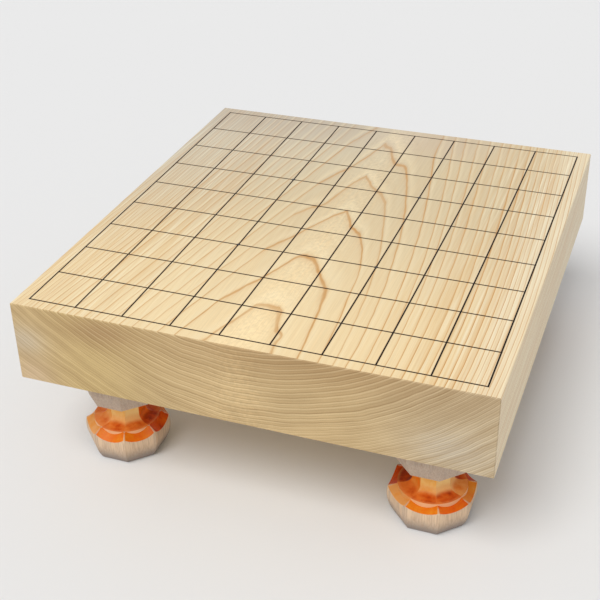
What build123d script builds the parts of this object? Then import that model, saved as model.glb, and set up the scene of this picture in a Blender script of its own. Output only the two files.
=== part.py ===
from build123d import *
import math
import os

# A legged shogi board: one thick plank with a lacquered grid on top, standing on four carved legs.
# Millimetres. The origin is the middle of the footprint on the floor, and +Z is up.
# X runs along the ranks, Y along the files, and -Y is the end-grain side that the front view shows.

# The plank.
board_width = 333.0
board_length = 364.0
board_thickness = 60.6
board_edge_chamfer = 0.6

# The grid of squares and its lacquer lines, which stand a little proud of the wood.
squares_across = 9
squares_along = 9
square_width = 34.8
square_length = 38.3
line_width = 1.0
file_line_height = 0.15
rank_line_height = 0.12
promotion_zone = 3
star_diameter = 2.8
star_wall_height = 0.18
star_crown = 0.08

# The square hollow in the middle of the underside, with a low pyramid left standing on its floor.
# Both angles are taken from upright, in degrees.
hollow_mouth = 84.0
hollow_depth = 16.0
hollow_wall_angle = 35.0
pyramid_base = 44.0
pyramid_angle = 68.0
pyramid_height = 8.0

# Where the legs stand: from the board's side and from its end to the leg's axis.
leg_inset_side = 49.5
leg_inset_end = 52.0

# The leg, eight-sided. A width is measured across two opposite facets.
facet_count = 8
foot_height = 25.6
neck_height = 20.9
stem_height = 35.5
sole_width = 48.8
sole_chamfer = 0.8
foot_width = 58.0
foot_widest_height = 18.0
shoulder_width = 55.4
shoulder_height = 26.0
stem_seat_width = 55.6
stem_width = 58.4
stem_widest_drop = 13.0
stem_taper_width = 57.4
stem_taper_drop = 22.0
stem_end_width = 47.5

# The round cutter that hollows each facet between the foot and the stem.
cutter_radius = 25.5
neck_width = 25.0
undercut_fillet = 4.5
neck_foot_fillet = 5.0

# The turned lip round the top of the foot, and the gouge that bevels each facet outside it.
lip_radius = 24.3
gouge_radius = 28.0
gouge_edge_height = 20.3
gouge_side_room = 3.0

# What varies from leg to leg, as hand carving does: how far the lip stands above the lowest one,
# and the slope of the bevels in degrees.
leg_carving = {
    "leg_front_left": (1.4, 40.0),
    "leg_front_right": (0.0, 21.0),
    "leg_back_left": (0.5, 27.0),
    "leg_back_right": (0.9, 33.0),
}

# The tenon on top of the leg and its mortise in the board.
tenon_width = 24.0
tenon_length = 28.0
tenon_lead = 1.5
tenon_clearance = 0.08
mortise_end_gap = 2.0

leg_height = foot_height + neck_height + stem_height
board_top = leg_height + board_thickness
cutter_distance = neck_width / 2 + cutter_radius
half_facet = math.radians(180 / facet_count)
grid_width = squares_across * square_width
grid_length = squares_along * square_length
leg_x = board_width / 2 - leg_inset_side
leg_y = board_length / 2 - leg_inset_end
leg_places = {
    "leg_front_left": (-leg_x, -leg_y),
    "leg_front_right": (leg_x, -leg_y),
    "leg_back_left": (-leg_x, leg_y),
    "leg_back_right": (leg_x, leg_y),
}


def file_line_x(index):
    """Place of a line that runs along the files, counted from the left."""
    return index * square_width - grid_width / 2


def rank_line_y(index):
    """Place of a line that runs along the ranks, counted from the front."""
    return index * square_length - grid_length / 2


def make_mortise():
    """Square hole for a tenon, as the solid that is taken out of the plank."""
    side = tenon_width + 2 * tenon_clearance
    depth = tenon_length + mortise_end_gap
    return Box(side, side, depth, align=(Align.CENTER, Align.CENTER, Align.MIN))


def make_hollow():
    """Square pit with sloping walls, less the low pyramid that stays on its floor."""
    mouth = Rectangle(hollow_mouth, hollow_mouth)
    pit = extrude(mouth, amount=hollow_depth, taper=hollow_wall_angle)
    base = Plane.XY.offset(hollow_depth) * Rectangle(pyramid_base, pyramid_base)
    pyramid = extrude(base, amount=-pyramid_height, taper=pyramid_angle)
    return pit - pyramid


def make_board():
    """The plank with four mortises and the hollow in its underside."""
    plank = Box(
        board_width, board_length, board_thickness, align=(Align.CENTER, Align.CENTER, Align.MIN)
    )
    plank = chamfer(plank.edges(), board_edge_chamfer)
    for x, y in leg_places.values():
        plank -= Pos(x, y, 0) * make_mortise()
    plank -= make_hollow()
    return Pos(0, 0, leg_height) * plank


def make_bead(length, height):
    """A line of lacquer along Y: flat under, rounded on top."""
    half = line_width / 2
    crown = ThreePointArc((-half, 0), (0, height), (half, 0))
    section = make_face(crown + Line((half, 0), (-half, 0)))
    return extrude(Plane.XZ * section, amount=length / 2, both=True)


def make_star():
    """A star point: a small round drop of lacquer with a low crown."""
    radius = star_diameter / 2
    outline = Polyline((0, 0), (radius, 0), (radius, star_wall_height))
    rise = star_wall_height + star_crown
    crown_radius = (radius**2 + star_crown**2) / (2 * star_crown)
    middle = radius / 2
    middle_drop = crown_radius - math.sqrt(crown_radius**2 - middle**2)
    outline += ThreePointArc((radius, star_wall_height), (middle, rise - middle_drop), (0, rise))
    outline += Line((0, rise), (0, 0))
    return revolve(Plane.XZ * make_face(outline), Axis.Z)


def star_places():
    """Corners of the promotion zones, counted from the left and from the front."""
    across = {"left": promotion_zone, "right": squares_across - promotion_zone}
    along = {"front": promotion_zone, "back": squares_along - promotion_zone}
    return {
        f"star_point_{end}_{side}": (file_line_x(column), rank_line_y(row))
        for end, row in along.items()
        for side, column in across.items()
    }


def make_star_gaps():
    """The round places where the lines stop at the star points."""
    gap = Cylinder(star_diameter / 2, 4 * star_wall_height)
    return [Pos(x, y, board_top) * gap for x, y in star_places().values()]


def make_file_lines():
    """Lines along the files, whole from end to end but for the star points."""
    bead = make_bead(grid_length + line_width, file_line_height)
    lines = []
    for index in range(squares_across + 1):
        line = Pos(file_line_x(index), 0, board_top) * bead
        lines.append(line - make_star_gaps())
    return lines


def make_rank_lines(file_lines):
    """Lines along the ranks, drawn second, so they lap onto the flanks of the lines that they cross."""
    bead = Rot(0, 0, 90) * make_bead(grid_width, rank_line_height)
    lines = []
    for index in range(squares_along + 1):
        line = Pos(0, rank_line_y(index), board_top) * bead
        lines.append(line - file_lines - make_star_gaps())
    return lines


def leg_outline():
    """Outline of the leg seen square to a facet, with the neck not yet cut."""
    sole = sole_width / 2
    widest = (foot_width / 2, foot_widest_height)
    shoulder = (shoulder_width / 2, shoulder_height)
    taper_start = (stem_taper_width / 2, leg_height - stem_taper_drop)
    stem_end = (stem_end_width / 2, leg_height - stem_height)
    neck_middle = (neck_width / 2 + undercut_fillet, foot_height + neck_height / 2)
    stem_bulge = (stem_width / 2, leg_height - stem_widest_drop)
    seat = (stem_seat_width / 2, leg_height)
    side = Polyline((0, 0), (sole - sole_chamfer, 0), (sole, sole_chamfer))
    side += TangentArc(widest, (sole, sole_chamfer), tangent=(0, -1))
    side += TangentArc(widest, shoulder, tangent=(0, 1))
    side += Polyline(shoulder, neck_middle, stem_end, taper_start)
    side += ThreePointArc(taper_start, stem_bulge, seat)
    side += Line(seat, (0, leg_height))
    return make_face(side + mirror(side, about=Plane.YZ))


def make_leg_blank():
    """The eight-sided block: four crossed bars, each with the outline on two opposite facets."""
    bar = extrude(Plane.XZ * leg_outline(), amount=stem_width, both=True)
    blank = bar
    for turn in range(1, facet_count // 2):
        blank &= Rot(0, 0, turn * 360 / facet_count) * bar
    return blank


def make_neck_cut(lip_rise):
    """What one pass of the round cutter takes out between the foot and the stem."""
    ceiling = leg_height - stem_height
    floor = foot_height + lip_rise
    wall_top = (cutter_radius, ceiling - undercut_fillet)
    wall_foot = (cutter_radius, floor + neck_foot_fillet)
    ceiling_edge = (cutter_radius - undercut_fillet, ceiling)
    floor_edge = (cutter_radius - neck_foot_fillet, floor)
    side = Line((0, ceiling), ceiling_edge)
    side += TangentArc(wall_top, ceiling_edge, tangent=(0, 1))
    side += Line(wall_top, wall_foot)
    side += TangentArc(wall_foot, floor_edge, tangent=(0, -1))
    side += Polyline(floor_edge, (0, floor), (0, ceiling))
    cut = revolve(Plane.XZ * make_face(side), Axis.Z)
    return Pos(0, -cutter_distance, 0) * cut


def make_bevel_cut(gouge_slope):
    """What the gouge takes off the rim of one facet, outside the turned lip."""
    half_width = foot_width / 2 * math.tan(half_facet) + gouge_side_room
    rise = gouge_radius - math.sqrt(gouge_radius**2 - half_width**2)
    hollow = ThreePointArc((-half_width, rise), (0, 0), (half_width, rise))
    top = gouge_radius / 2
    walls = Polyline((half_width, rise), (half_width, top), (-half_width, top), (-half_width, rise))
    stroke = extrude(Plane.XZ * make_face(hollow + walls), amount=foot_width / 2, both=True)
    edge = Pos(0, -foot_width / 2, gouge_edge_height) * Rot(gouge_slope, 0, 0)
    lip = Cylinder(lip_radius, leg_height, align=(Align.CENTER, Align.CENTER, Align.MIN))
    ceiling = Pos(0, 0, leg_height - stem_height) * Box(
        4 * foot_width, 4 * foot_width, leg_height, align=(Align.CENTER, Align.CENTER, Align.MIN)
    )
    return edge * stroke - lip - ceiling


def make_tenon():
    """Square tenon with its end eased, standing on the leg's seat."""
    tenon = Box(
        tenon_width, tenon_width, tenon_length, align=(Align.CENTER, Align.CENTER, Align.MIN)
    )
    tenon = chamfer(tenon.faces().sort_by(Axis.Z)[-1].edges(), tenon_lead)
    return Pos(0, 0, leg_height) * tenon


def make_leg(lip_rise, gouge_slope):
    """A leg carved from one block, with its tenon."""
    leg = make_leg_blank()
    neck_cut = make_neck_cut(lip_rise)
    bevel_cut = make_bevel_cut(gouge_slope)
    for cut in (neck_cut, bevel_cut):
        for turn in range(facet_count):
            leg -= Rot(0, 0, turn * 360 / facet_count) * cut
    return leg + make_tenon()


def save(name, shape):
    """Write one sub-part."""
    export_step(shape, os.path.join("parts", name + ".step"))


os.makedirs("parts", exist_ok=True)
save("board", make_board())

file_lines = make_file_lines()
for number, line in enumerate(file_lines, start=1):
    save(f"file_line_{number}", line)
for number, line in enumerate(make_rank_lines(file_lines), start=1):
    save(f"rank_line_{number}", line)

star = make_star()
for name, (x, y) in star_places().items():
    save(name, Pos(x, y, board_top) * star)

for name, (x, y) in leg_places.items():
    save(name, Pos(x, y, 0) * make_leg(*leg_carving[name]))
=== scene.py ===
import bpy
import math
from mathutils import Matrix, Vector

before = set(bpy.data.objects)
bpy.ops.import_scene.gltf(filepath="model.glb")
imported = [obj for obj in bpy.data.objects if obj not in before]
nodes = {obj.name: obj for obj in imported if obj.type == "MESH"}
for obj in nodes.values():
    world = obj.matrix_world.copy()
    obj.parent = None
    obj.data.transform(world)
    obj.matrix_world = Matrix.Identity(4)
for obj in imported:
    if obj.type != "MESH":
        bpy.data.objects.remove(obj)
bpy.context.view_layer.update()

# The camera stands a little right of the end-grain side and looks down on the board.
# Its place and lens were worked out from the corners of the grid and of the plank.
view_target = Vector((0.0169, -0.1156, 0.1426))
view_azimuth = math.radians(20.75)
view_elevation = math.radians(31.41)
view_roll = math.radians(-1.08)
view_distance = 0.7703
view_lens = 69.157

away = Vector((
    math.sin(view_azimuth) * math.cos(view_elevation),
    -math.cos(view_azimuth) * math.cos(view_elevation),
    math.sin(view_elevation),
))
right = Vector((0, 0, 1)).cross(away).normalized()
up = away.cross(right)
rolled_right = right * math.cos(view_roll) + up * math.sin(view_roll)
rolled_up = up * math.cos(view_roll) - right * math.sin(view_roll)
camera = bpy.data.objects.new("camera", bpy.data.cameras.new("camera"))
camera.data.sensor_width = 36
camera.data.lens = view_lens
turn = Matrix((rolled_right, rolled_up, away)).transposed().to_4x4()
camera.matrix_world = Matrix.Translation(view_target + away * view_distance) @ turn
bpy.context.scene.collection.objects.link(camera)
bpy.context.scene.camera = camera

# The plank is sawn from one log of pale conifer, well below its heart, so the yearly rings hang as
# bowls in the end grain, come out as tall pointed arches along the middle of the top, and run as fine
# straight lines at the sides. It is planed, and waxed to a satin finish. Sizes are in mm.
top_height = 142.6
half_length = 182.0
squares = 9
square_width = 34.8
square_length = 38.3
heart_height = 157.4

# Radii of the yearly rings round the log's heart, measured at the front end.
ring_radii = [
    143.5, 147.6, 151.5, 155.0, 158.7, 162.0, 165.2, 169.3, 172.7, 175.3, 178.7, 182.4, 186.7,
    189.8, 194.3, 198.2, 201.3, 204.3, 206.9, 208.7, 210.7, 213.0, 215.0, 217.2, 219.3, 221.5, 223.5,
]
while ring_radii[-1] < 280:
    ring_radii.append(ring_radii[-1] + 2.8 + 0.5 * math.sin(2.3 * len(ring_radii)))

# How far the rings stand out of round, by the place across the top.
ring_wobble = [
    (-70, 0.37), (-50, 0.87), (-36, 0.49), (-30, 0.96), (-22, 1.37), (-15, 1.04), (-8, 0.59),
    (-2, 0.63), (5, 0.86), (12, 0.99), (18, 0.95), (24, 0.82), (30, 0.76), (36, 0.74), (50, 0.29),
    (70, -0.37),
]

# Soft dents in the rings: place across and along, depth, half width and half length.
ring_dents = [
    (-11, 24, 0.77, 10, 29), (24.5, 48, -0.25, 7, 28), (14.5, 109, 0.64, 8.5, 40),
    (30.6, -14, -0.43, 6, 32), (37, -77, -1.3, 8, 37), (-31, -74, -0.27, 8, 35),
    (11, -126, -0.26, 7.5, 31), (-40, -56, 0.27, 9, 28), (40, 182, -1.3, 9, 34),
    (20, -161, -0.5, 4, 6), (9, -132, -0.22, 5, 7), (-9, -130, -0.15, 4, 6), (-3, -124, 0.17, 5, 5),
]


def paint(red, green, blue):
    """A colour as it looks, 0 to 255, as the shader wants it."""
    parts = (part / 255 for part in (red, green, blue))
    linear = [part / 12.92 if part < 0.04045 else ((part + 0.055) / 1.055) ** 2.4 for part in parts]
    return (*linear, 1.0)


class Tone:
    """A number, colour or place in a finish. Arithmetic on it lays the nodes that work it out."""

    def __init__(self, finish, socket):
        self.finish = finish
        self.socket = socket

    def maths(self, operation, *others):
        """Any other sum, by the name that its node gives it."""
        return self.finish.arithmetic(operation, self, *others)

    def __add__(self, other):
        return self.finish.arithmetic("ADD", self, other)

    def __sub__(self, other):
        return self.finish.arithmetic("SUBTRACT", self, other)

    def __rsub__(self, other):
        return self.finish.arithmetic("SUBTRACT", other, self)

    def __mul__(self, other):
        return self.finish.arithmetic("MULTIPLY", self, other)

    def __truediv__(self, other):
        return self.finish.arithmetic("DIVIDE", self, other)

    def __rtruediv__(self, other):
        return self.finish.arithmetic("DIVIDE", other, self)

    def __abs__(self):
        return self.finish.arithmetic("ABSOLUTE", self)

    __radd__ = __add__
    __rmul__ = __mul__

    def step(self, start, end):
        """0 before start, 1 after end, and smooth between them."""
        sockets = {"Value": self, "From Min": start, "From Max": end}
        return self.finish.node(
            "ShaderNodeMapRange", {"interpolation_type": "SMOOTHSTEP"}, sockets
        )

    def bell(self, middle, width):
        """1 at the middle, falling away softly on both sides."""
        offset = (self - middle) / width
        return (offset * offset * -1).maths("EXPONENT")


class Finish:
    """A material, or the room's light, while its nodes are laid."""

    def __init__(self, name, surface="Principled BSDF", library=bpy.data.materials):
        self.material = library.new(name)
        self.material.use_nodes = True
        self.tree = self.material.node_tree
        self.surface = self.tree.nodes[surface]

    def join(self, socket, value):
        """Link a tone to a socket, or set a plain value on it."""
        if isinstance(value, Tone):
            self.tree.links.new(value.socket, socket)
        else:
            socket.default_value = value

    def node(self, kind, settings, sockets, output=0):
        """Any node: its settings first, then the values and links of its sockets."""
        node = self.tree.nodes.new(kind)
        for setting, value in settings.items():
            if setting == "stops":
                stops = node.color_ramp.elements
                while len(stops) < len(value):
                    stops.new(1)
                for stop, (position, colour) in zip(stops, value):
                    stop.position = position
                    stop.color = colour
            elif setting == "points":
                curve = node.mapping.curves[0]
                for place, height in value[1:-1]:
                    curve.points.new(place, height)
                for point, (place, height) in zip(curve.points, value):
                    point.location = (place, height)
                    point.handle_type = "VECTOR"
                node.mapping.update()
            else:
                setattr(node, setting, value)
        for socket, value in sockets.items():
            self.join(node.inputs[socket], value)
        return Tone(self, node.outputs[output])

    def arithmetic(self, operation, *values):
        """One Math node."""
        return self.node("ShaderNodeMath", {"operation": operation}, dict(enumerate(values)))

    def mix(self, share, first, second, blend="MIX"):
        """Colours laid over each other, the second by its share."""
        settings = {"data_type": "RGBA", "blend_type": blend}
        return self.node("ShaderNodeMix", settings, {0: share, 6: first, 7: second}, output=2)

    def ramp(self, tone, stops):
        """A tone carried through stops of place and height, from 0 to 1."""
        greys = [(place, (height, height, height, 1)) for place, height in stops]
        return self.node("ShaderNodeValToRGB", {"stops": greys}, {"Fac": tone})

    def parts(self, coordinate):
        """One of the surface's coordinates, parted into x, y and z."""
        whole = self.node("ShaderNodeTexCoord", {}, {}, coordinate)
        first = self.node("ShaderNodeSeparateXYZ", {}, {0: whole})
        return [Tone(self, output) for output in first.socket.node.outputs]

    def place(self):
        """Place on the piece in mm, as x, y and z."""
        return [part * 1000 for part in self.parts("Object")]

    def facing(self):
        """Which way the surface faces, as x, y and z."""
        return self.parts("Normal")

    def mottle(self, x, y, z, detail=2.0, roughness=0.5):
        """Soft noise from 0 to 1, with one speck about as large as one unit of x, y and z."""
        point = self.node("ShaderNodeCombineXYZ", {}, {0: x, 1: y, 2: z})
        sockets = {"Vector": point, "Scale": 1.0, "Detail": detail, "Roughness": roughness}
        return self.node("ShaderNodeTexNoise", {}, sockets)

    def bump(self, height, depth):
        """Surface relief: height from 0 to 1 over a depth in metres."""
        sockets = {"Height": height, "Distance": depth, "Strength": 1.0}
        return self.node("ShaderNodeBump", {}, sockets)

    def give(self, **sockets):
        """The values of the surface's own sockets."""
        for name, value in sockets.items():
            self.join(self.surface.inputs[name.replace("_", " ")], value)


def wander(along, level, slope, bend, twist):
    """Where the log's heart lies in mm, by the place along the plank from -1 to 1."""
    return level + along * (slope + along * (along * twist + bend))


wood = Finish("waxed_plank_wood")
x, y, z = wood.place()
along = y / half_length
depth = top_height - z

# Each place's distance from the heart. The bowls of the rings are flatter towards the left side.
heart_x = wander(along, 5.3, 3.26, -3.93, 1.19)
heart_rise = wander(along, heart_height, 9.87, -0.04, -1.08)
across = x - heart_x
flatten = (1 - x.step(-150, -40)) * 0.2 + 0.96
drop = heart_rise + depth * flatten
radius = (across * across + drop * drop).maths("SQRT")

# The curve node holds heights from 0 to 1, so the wobble is packed into that and unpacked after it.
spread = across * heart_height / drop
edge = ring_wobble[-1][0]
wobble_points = [((place + edge) / (2 * edge), (height + 0.5) / 2) for place, height in ring_wobble]
wobble = wood.node(
    "ShaderNodeFloatCurve", {"points": wobble_points}, {"Value": (spread + edge) / (2 * edge)}
)
radius = radius + wobble * 2 - 0.5
for dent_x, dent_y, dent, dent_width, dent_span in ring_dents:
    radius = radius + x.bell(dent_x, dent_width) * y.bell(dent_y, dent_span) * dent

# The arches at the back draw out to a point, and every ring wavers a little, more so below the top.
peak = abs(x - (y.bell(20, 30) * 4 + 2 - y.step(60, 150) * 5))
point = (peak / -4).maths("EXPONENT") * y.step(-62, -5) * (depth / -12).maths("EXPONENT")
radius = radius - point * 0.5
waver = wood.mottle(x / 11, y / 30, depth / 11)
sway = wood.mottle(x / 34 + 3, y / 260, depth / 26)
radius = radius + (waver - 0.5) * 0.6 + (sway - 0.5) * depth.step(1, 16) * 3.5

# Which yearly ring a place is in, and how far through that year it grew, from 0 to 1.
first_ring = ring_radii[0]
ring_span = ring_radii[-1] - first_ring
ring_count = len(ring_radii) - 1
ring_points = [((ring - first_ring) / ring_span, n / ring_count) for n, ring in enumerate(ring_radii)]
ring_place = wood.node(
    "ShaderNodeFloatCurve", {"points": ring_points}, {"Value": (radius - first_ring) / ring_span}
)
ring = ring_place * ring_count
season = ring.maths("FRACT")

# The late wood of a year is its dark outer edge, thin on the faces and broad in the end grain. It
# fades towards the left and the back, and each year has its own strength.
late_wood = wood.ramp(season, [
    (0.0, 0.9), (0.025, 0.3), (0.06, 0.0), (0.6, 0.0), (0.83, 0.05), (0.93, 0.22), (0.965, 0.88),
    (1.0, 1.0),
])
end_late_wood = wood.ramp(season, [
    (0.0, 0.7), (0.06, 0.0), (0.2, 0.0), (0.5, 0.12), (0.78, 0.36), (0.9, 0.8), (0.97, 1.0), (1.0, 0.9),
])
halo = wood.ramp(season, [(0.06, 0.0), (0.14, 1.0), (0.36, 0.0), (1.0, 0.0)])
ring_mood = wood.node(
    "ShaderNodeTexWhiteNoise", {"noise_dimensions": "1D"}, {"W": ring.maths("FLOOR")}
)
stretch = wood.mottle(x / 14, y / 60, depth / 14)
flank = abs(x - 10).step(55, 140)
ring_strength = (0.62 + ring_mood * 0.38) * (0.62 + stretch * 0.76)
fading = (1 - x.step(-90, -10)) * 0.25 + y.step(115, 165) * 0.4
dark_ring = (late_wood + end_late_wood * flank * 0.4) * ring_strength * (1 - fading)
end_ring = end_late_wood * (0.3 + ring_mood * 0.7) * (0.4 + stretch * 1.1)
swell = wood.mottle(radius / 4.5, y / 150, x / 60, detail=3.0).step(0.4, 0.66)

# The finer figure: lines between the rings, fibres, streaks, and a ripple inside the arches.
half_ring = wood.ramp((ring * 2).maths("FRACT"), [
    (0.0, 0.8), (0.12, 0.0), (0.6, 0.0), (0.9, 1.0), (1.0, 1.0),
])
fibre = wood.mottle(x / 0.7, y / 45, depth / 0.7, detail=3.0, roughness=0.6)
streak = wood.mottle(x / 2.6, y / 160, depth / 2.6, detail=4.0, roughness=0.6)
cloud = wood.mottle(x / 45, y / 90, depth / 45)
ripple_x = wood.mottle(x / 9, y / 9, depth / 9)
ripple = wood.mottle(x / 2.6 + ripple_x * 3, y / 3.4 + ripple_x * 4, depth / 3)
ripple_zone = spread.bell(0, 17) * (1 - late_wood)

# The ground of the top and sides: warm and pale in front, greyer at the back and far left, where the
# grey is a painted sheen of reflected light.
end_face = abs(wood.facing()[1]).step(0.4, 0.7)
face_ground = wood.mix(y.step(-190, 90), paint(250, 224, 174), paint(219, 200, 162))
tan_streak = streak.step(0.45, 0.7) * (0.14 + flank * 0.42)
face_ground = wood.mix(tan_streak, face_ground, paint(229, 186, 120))
cream_streak = (1 - streak.step(0.3, 0.52)) * (0.06 + flank * 0.62)
face_ground = wood.mix(cream_streak, face_ground, paint(255, 243, 210))
far_left_painted_sheen = (y - x).step(20, 330)
face_ground = wood.mix(far_left_painted_sheen * 0.6, face_ground, paint(204, 204, 194))
back_left = (1 - x.step(-60, 15)) * y.step(105, 175)
face_ground = wood.mix(back_left * 0.5, face_ground, paint(184, 168, 150))
back_patch = x.bell(40, 55) * y.step(112, 165)
face_ground = wood.mix(back_patch * 0.35, face_ground, paint(202, 176, 154))
near_left = (1 - x.step(-130, 10)) * (1 - y.step(-150, -10))
face_ground = wood.mix(near_left * 0.4, face_ground, paint(252, 234, 190))
face_ground = wood.mix(x.step(120, 166) * 0.5, face_ground, paint(255, 246, 218))

# The ground of the two ends, with its brown, grey and pink patches.
end_ground = wood.mix(cloud.step(0.3, 0.7), paint(221, 191, 140), paint(209, 180, 131))
end_ground = wood.mix(x.bell(-108, 40) * 0.5, end_ground, paint(214, 186, 116))
end_ground = wood.mix(x.step(60, 165) * 0.6, end_ground, paint(204, 190, 165))
brown_patch = x.bell(50, 105) * depth.bell(0, 18) + x.bell(-100, 30) * depth.bell(10, 12)
grey_patch = x.bell(138, 24) * depth.bell(46, 14) + x.bell(-160, 16) * depth.bell(28, 12)
pink_patch = x.bell(-156, 16) * depth.bell(56, 14)
end_ground = wood.mix(brown_patch * 0.85, end_ground, paint(184, 149, 102))
end_ground = wood.mix(grey_patch * 0.6, end_ground, paint(214, 204, 186))
end_ground = wood.mix(pink_patch * 0.7, end_ground, paint(222, 194, 160))

# The rings are laid over the ground, the faint ones first.
ground = wood.mix(end_face, face_ground, end_ground)
pale_wood = wood.mix(end_face, paint(248, 229, 188), paint(236, 214, 168))
ground = wood.mix(halo * 0.35, ground, pale_wood)
# The rings are greyer at the far left too: painted sheen.
face_ring = wood.mix(far_left_painted_sheen * 0.7, paint(202, 139, 56), paint(176, 136, 92))
ring_colour = wood.mix(end_face, face_ring, paint(152, 118, 70))
fine_share = half_ring * stretch * (0.06 + flank * (1 - end_face) * 0.16 + end_face * 0.42)
colour = wood.mix(fine_share, ground, ring_colour)
colour = wood.mix(swell * (0.05 + end_face * 0.15 + flank * 0.1), colour, ring_colour)
ring_share = dark_ring * (1 - end_face) * 0.82 + end_ring * end_face * 0.6
colour = wood.mix(ring_share, colour, ring_colour)

# Lacquer has soaked a little way into the wood beside each line, which leaves an amber edge.
grid_side = squares * square_width / 2
grid_end = squares * square_length / 2
across_file = (x / square_width + 0.5).maths("FRACT")
across_rank = (y / square_length + 0.5).maths("FRACT")
off_file = (0.5 - abs(across_file - 0.5)) * square_width
off_rank = (0.5 - abs(across_rank - 0.5)) * square_length
soaked = 1 - off_file.maths("MINIMUM", off_rank).step(0.45, 0.95)
in_width = 1 - abs(x).step(grid_side + 0.6, grid_side + 1.0)
in_length = 1 - abs(y).step(grid_end + 0.55, grid_end + 0.95)
on_grid = in_width * in_length * (1 - depth.step(0.1, 0.3))
colour = wood.mix(soaked * on_grid * 0.6, colour, paint(130, 86, 40))

# Fibres and ripple shade the colour a little, and the planed surface follows them.
speck = fibre.step(0.2, 0.8) * 0.12 + ripple.step(0.3, 0.7) * ripple_zone * 0.14 + 0.86
speck = speck + (1 - end_face) * 0.03
shade = wood.node("ShaderNodeCombineColor", {}, {0: speck, 1: speck, 2: speck})
colour = wood.mix(1.0, colour, shade, blend="MULTIPLY")
relief = wood.bump(fibre * 0.4 - dark_ring * 0.5, 0.00006)
wood.give(
    Base_Color=colour, Roughness=0.44 + fibre * 0.08 + end_face * 0.14, Normal=relief
)
nodes["board"].data.materials[0] = wood.material

# The grid lines are lacquer drawn with a blade's edge: the files first, then the ranks across them.
# They stand up as low, nearly black beads with a satin gloss that breaks where the blade dragged.
lacquer = Finish("drawn_lacquer")
x, y, z = lacquer.place()
drag = lacquer.mottle(x / 2.2, y / 2.2, z / 2.2, detail=3.0)
thin = lacquer.mottle(x / 9, y / 9, z / 9)
lacquer.give(
    Base_Color=lacquer.mix(thin.step(0.45, 0.75) * 0.5, paint(10, 8, 6), paint(34, 24, 15)),
    Specular_IOR_Level=0.08,
    Roughness=0.3 + drag * 0.2,
    Normal=lacquer.bump(drag, 0.00003),
)
for number in range(1, squares + 2):
    nodes[f"file_line_{number}"].data.materials[0] = lacquer.material
    nodes[f"rank_line_{number}"].data.materials[0] = lacquer.material

# The star points are round drops of the same lacquer, set where the lines of the promotion zones
# meet. A drop keeps a smooth crown, so it is blacker and glossier than a drawn line.
drop_lacquer = Finish("dropped_lacquer")
x, y, z = drop_lacquer.place()
skin = drop_lacquer.mottle(x / 0.9, y / 0.9, z / 0.9)
drop_lacquer.give(
    Base_Color=drop_lacquer.mix(skin, paint(16, 13, 12), paint(34, 27, 22)),
    Roughness=0.16 + skin * 0.12,
    Normal=drop_lacquer.bump(skin, 0.00002),
)
for end in ("front", "back"):
    for side in ("left", "right"):
        nodes[f"star_point_{end}_{side}"].data.materials[0] = drop_lacquer.material

# Each leg is turned and carved from one block, eight-sided, in the shape of a gardenia's pod. The
# outer facets are bare planed wood; the neck, the floor round it and the gouged bevels are stained
# orange to red-brown, and the stain lies deeper in some facets than in others. The facets that the
# lamp reaches less are also painted darker, as painted shade.
leg_x = 117.0
leg_y = 130.0
facet_count = 8
half_facet = math.pi / facet_count
foot_width = 58.0
gouge_edge = 20.3
gouge_radius = 28.0
lip_radius = 24.3
foot_height = 25.6
stem_end = 46.5

# For each leg: its axis, the lip's rise in mm, the bevels' slope in degrees, and how dark the eight
# bevels, the eight neck hollows and the floor before each of them are, from the right-hand facet round
# by the back. That darkness is deeper stain together with painted shade on the facets that face away
# from the light.
legs = {
    "leg_front_left": (-leg_x, -leg_y, 1.4, 40.0,
                       (0.8, 0.5, 0.4, 0.6, 0.1, 0.08, 0.52, 0.56),
                       (0.7, 0.6, 0.5, 0.6, 0.32, 0.22, 0.12, 0.0),
                       (0.74, 0.6, 0.7, 0.6, 0.35, 0.28, 0.5, 0.44)),
    "leg_front_right": (leg_x, -leg_y, 0.0, 21.0,
                        (0.36, 0.9, 0.4, 0.7, 0.8, 0.0, 0.44, 0.66),
                        (-0.02, 0.8, 0.5, 0.6, 0.97, 0.48, 0.18, -0.08),
                        (0.14, 0.7, 0.6, 0.7, 0.84, 0.46, 0.56, 0.64)),
    "leg_back_left": (-leg_x, leg_y, 0.5, 27.0,
                      (0.5, 0.7, 0.35, 0.5, 0.6, 0.3, 0.55, 0.7),
                      (0.6, 0.4, 0.1, 0.15, 0.3, 0.6, 0.4, 0.2),
                      (0.6, 0.5, 0.65, 0.6, 0.5, 0.6, 0.7, 0.5)),
    "leg_back_right": (leg_x, leg_y, 0.9, 33.0,
                       (0.4, 0.6, 0.7, 0.3, 0.5, 0.65, 0.4, 0.6),
                       (0.1, 0.3, 0.3, 0.6, 0.5, 0.2, 0.6, 0.3),
                       (0.5, 0.65, 0.6, 0.7, 0.6, 0.5, 0.6, 0.6)),
}


def facet_stops(depths):
    """Ramp stops that hold one depth across each facet, with a soft join to the next."""
    starts = [(number / facet_count, depth) for number, depth in enumerate(depths)]
    return [(start + edge, depth) for start, depth in starts for edge in (0.02, 0.105)]


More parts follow.
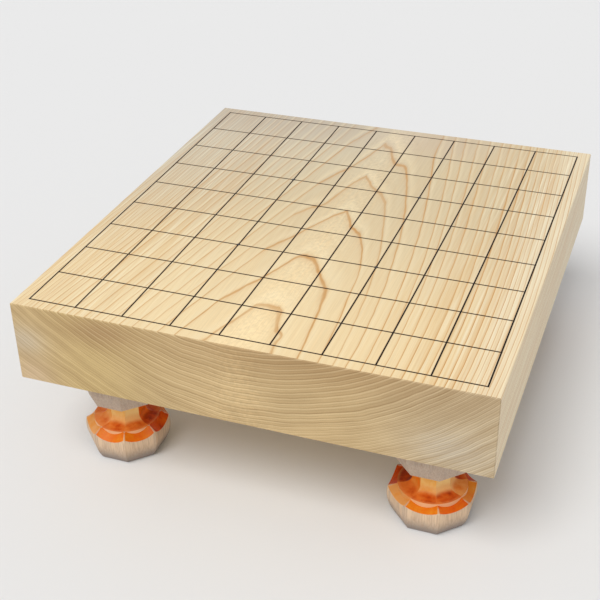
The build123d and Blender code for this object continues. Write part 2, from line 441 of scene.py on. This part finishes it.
def stained_leg(name, axis_x, axis_y, lip_rise, slope, bevel_stain_and_shade, neck_stain_and_shade, floor_stain_and_shade):
    """The finish of one leg, laid by the place of its facets."""
    finish = Finish(name + "_wood")
    x, y, z = finish.place()
    x = x - axis_x
    y = y - axis_y
    facing_up = finish.facing()[2]
    reach = (x * x + y * y).maths("SQRT")
    turns = y.maths("ARCTAN2", x) * (facet_count / (2 * math.pi))
    facet = turns.maths("ROUND")
    fold = (turns - facet) * (2 * half_facet)
    off_middle = reach * fold.maths("SINE")
    out = reach * fold.maths("COSINE")

    # Where the tools went: the gouge's bevels outside the lip, the cutter's hollow inside it.
    tilt = math.radians(slope)
    hollow = gouge_radius - (gouge_radius**2 - off_middle * off_middle).maths("SQRT")
    bevel = gouge_edge + (foot_width / 2 - out) * math.tan(tilt) + hollow / math.cos(tilt)
    ragged = finish.mottle(x / 1.6, y / 1.6, z / 3)
    above_gouge = z.step(gouge_edge - 0.3, gouge_edge + 0.7)
    inside = (1 - reach.step(lip_radius - 0.3, lip_radius - 0.1)) * above_gouge
    cut = (z - bevel + (ragged - 0.5) * 0.3).step(-0.4, -0.1)
    stained = cut.maths("MAXIMUM", inside) * (1 - z.step(stem_end - 0.3, stem_end + 0.2))
    # The lip's outer face is painted pale where its facet is lit: a painted highlight.
    lip_painted_highlight = stained * (1 - inside) * (1 - reach.step(lip_radius + 0.12, lip_radius + 0.35))

    number = (facet + facet_count).maths("MODULO", facet_count)
    facet_place = (number + 0.5) / facet_count
    bevel_stain_shade = finish.ramp(facet_place, facet_stops(bevel_stain_and_shade))
    neck_stain_shade = finish.ramp(facet_place, facet_stops(neck_stain_and_shade))
    floor_stain_shade = finish.ramp(facet_place, facet_stops(floor_stain_and_shade))
    lip_painted_highlight = lip_painted_highlight * (1 - abs(facing_up).step(0.25, 0.6)) * (1 - neck_stain_shade.step(0.2, 0.55))

    # The stain: deep or thin by the facet, where the facet's depth also holds painted shade, patchy,
    # and brushed on.
    patchy = finish.mottle(x / 5, y / 5, z / 6, detail=3.0)
    brushed = finish.mottle(x / 1.1, y / 1.1, z / 7, detail=3.0)
    bevel_tone = bevel_stain_shade + (patchy - 0.5) * 0.6 + (brushed - 0.5) * 0.15
    bevel_colour = finish.node("ShaderNodeValToRGB", {"stops": [
        (0.0, paint(224, 157, 88)), (0.3, paint(226, 138, 34)), (0.5, paint(222, 114, 10)),
        (0.7, paint(220, 94, 10)), (0.85, paint(206, 72, 4)), (1.0, paint(166, 46, 4)),
    ]}, {"Fac": bevel_tone})
    neck_tone = neck_stain_shade + (patchy - 0.5) * 0.5 + (brushed - 0.5) * 0.2
    neck_colour = finish.node("ShaderNodeValToRGB", {"stops": [
        (0.0, paint(255, 218, 144)), (0.25, paint(250, 186, 86)), (0.45, paint(244, 146, 42)),
        (0.65, paint(255, 116, 6)), (0.85, paint(206, 82, 10)), (1.0, paint(130, 44, 10)),
    ]}, {"Fac": neck_tone})
    pool = finish.mottle(x / 7, y / 7, z / 9, detail=3.0)
    # Low in each neck hollow the colour darkens: stain that ran down, and painted shade in the groove.
    run_down_and_shade = 1 - (z - lip_rise).step(foot_height + 1.5, foot_height + 8)
    neck_colour = finish.mix(run_down_and_shade * 0.4, neck_colour, paint(232, 126, 50))
    # The floor is painted lighter towards the lip: a painted highlight.
    rim_painted_highlight = reach.step(lip_radius - 2.8, lip_radius - 0.3)
    floor_colour = finish.node("ShaderNodeValToRGB", {"stops": [
        (0.0, paint(242, 170, 96)), (0.35, paint(232, 128, 50)), (0.65, paint(208, 86, 20)),
        (0.85, paint(168, 56, 12)), (1.0, paint(128, 36, 10)),
    ]}, {"Fac": floor_stain_shade + (pool - 0.5) * 1.1})
    floor_colour = finish.mix(rim_painted_highlight * 0.45, floor_colour, paint(238, 156, 92))
    near_floor = 1 - (z - lip_rise).step(foot_height, foot_height + 2.4)
    inner_colour = finish.mix(near_floor, neck_colour, floor_colour)
    stain_with_painted_light = finish.mix(inside, bevel_colour, inner_colour)
    # The painted highlight on the lip's outer face.
    stain_with_painted_light = finish.mix(lip_painted_highlight * 0.85, stain_with_painted_light, paint(242, 190, 144))

    # The ridges between facets are worn and painted lighter as a highlight, and the stain misses the
    # corners between the bevels.
    off_edge = (half_facet - abs(fold)) * reach
    ridge = 1 - off_edge.step(0.1, 0.9)
    worn_and_lit_ridge = ridge * ragged.step(0.35, 0.65) * (1 - inside * 0.8)
    stain_with_painted_light = finish.mix(worn_and_lit_ridge * 0.35, stain_with_painted_light, paint(246, 184, 122))
    off_corner = off_edge - (reach - lip_radius) * 0.1
    missed = (1 - (off_corner + (ragged - 0.5) * 0.9).step(-0.1, 0.4)) * (1 - inside)
    stained = stained * (1 - missed * reach.step(lip_radius + 0.6, lip_radius + 3.5) * 0.7)

    # Bare wood everywhere else, with painted shade that greys it towards the sole and on the stem under
    # the plank.
    grain = finish.mottle(x / 0.8, y / 0.8, z / 26, detail=3.0, roughness=0.6)
    band = finish.mottle(x / 3.5, y / 3.5, z / 60)
    low_painted_shade = 1 - z.step(1, 17)
    stem_painted_shade = z.step(stem_end - 2.5, stem_end + 1.5)
    bare = finish.mix(low_painted_shade * 0.85, paint(224, 195, 163), paint(126, 123, 123))
    bare = finish.mix(stem_painted_shade, bare, paint(199, 181, 162))
    bare = finish.mix(grain.step(0.38, 0.7) * 0.46, bare, paint(166, 132, 110))
    bare = finish.mix(band.step(0.45, 0.75) * 0.4, bare, paint(158, 142, 132))
    colour = finish.mix(stained, bare, stain_with_painted_light)
    height = grain * 0.5 + brushed * 0.5
    finish.give(
        Base_Color=colour,
        Specular_IOR_Level=0.18,
        Roughness=0.6 - stained * 0.18 + (brushed - 0.5) * 0.1,
        Normal=finish.bump(height, 0.00012),
    )
    return finish.material


for leg, carving in legs.items():
    nodes[leg].data.materials[0] = stained_leg(leg, *carving)

# A plain pale floor of matt paper, wide enough to fill the view, takes the board's soft shadow.
# It is stage and no part of the object.
floor_mesh = bpy.data.meshes.new("floor")
floor_reach = 6.0
floor_corners = [
    (-floor_reach, -floor_reach, 0), (floor_reach, -floor_reach, 0),
    (floor_reach, floor_reach, 0), (-floor_reach, floor_reach, 0),
]
floor_mesh.from_pydata(floor_corners, [], [(0, 1, 2, 3)])
floor = bpy.data.objects.new("floor", floor_mesh)
bpy.context.scene.collection.objects.link(floor)
paper = Finish("floor_paper")
paper.give(Base_Color=(0.80, 0.80, 0.80, 1), Roughness=0.9)
floor_mesh.materials.append(paper.material)

# The light is an even pale room with one broad soft lamp high up in front, a little to the left.
# The camera and mirrored rays see the room as paler than it shines on the board.
room = Finish("room", "Background", bpy.data.worlds)
bpy.context.scene.world = room.material
seen = room.node("ShaderNodeLightPath", {}, {}, "Is Camera Ray")
for mirrored in ("Is Glossy Ray", "Is Transmission Ray"):
    seen = seen.maths("MAXIMUM", room.node("ShaderNodeLightPath", {}, {}, mirrored))
room.give(Color=(1, 1, 1, 1), Strength=seen * 0.28 + 0.52)

lamp = bpy.data.objects.new("soft_lamp", bpy.data.lights.new("soft_lamp", "SUN"))
lamp.data.energy = 1.89
lamp.data.angle = math.radians(32)
lamp_from = Vector((-0.11, -0.52, 0.80))
lamp.rotation_euler = lamp_from.to_track_quat("Z", "Y").to_euler()
bpy.context.scene.collection.objects.link(lamp)
bpy.context.scene.view_settings.view_transform = "Standard"
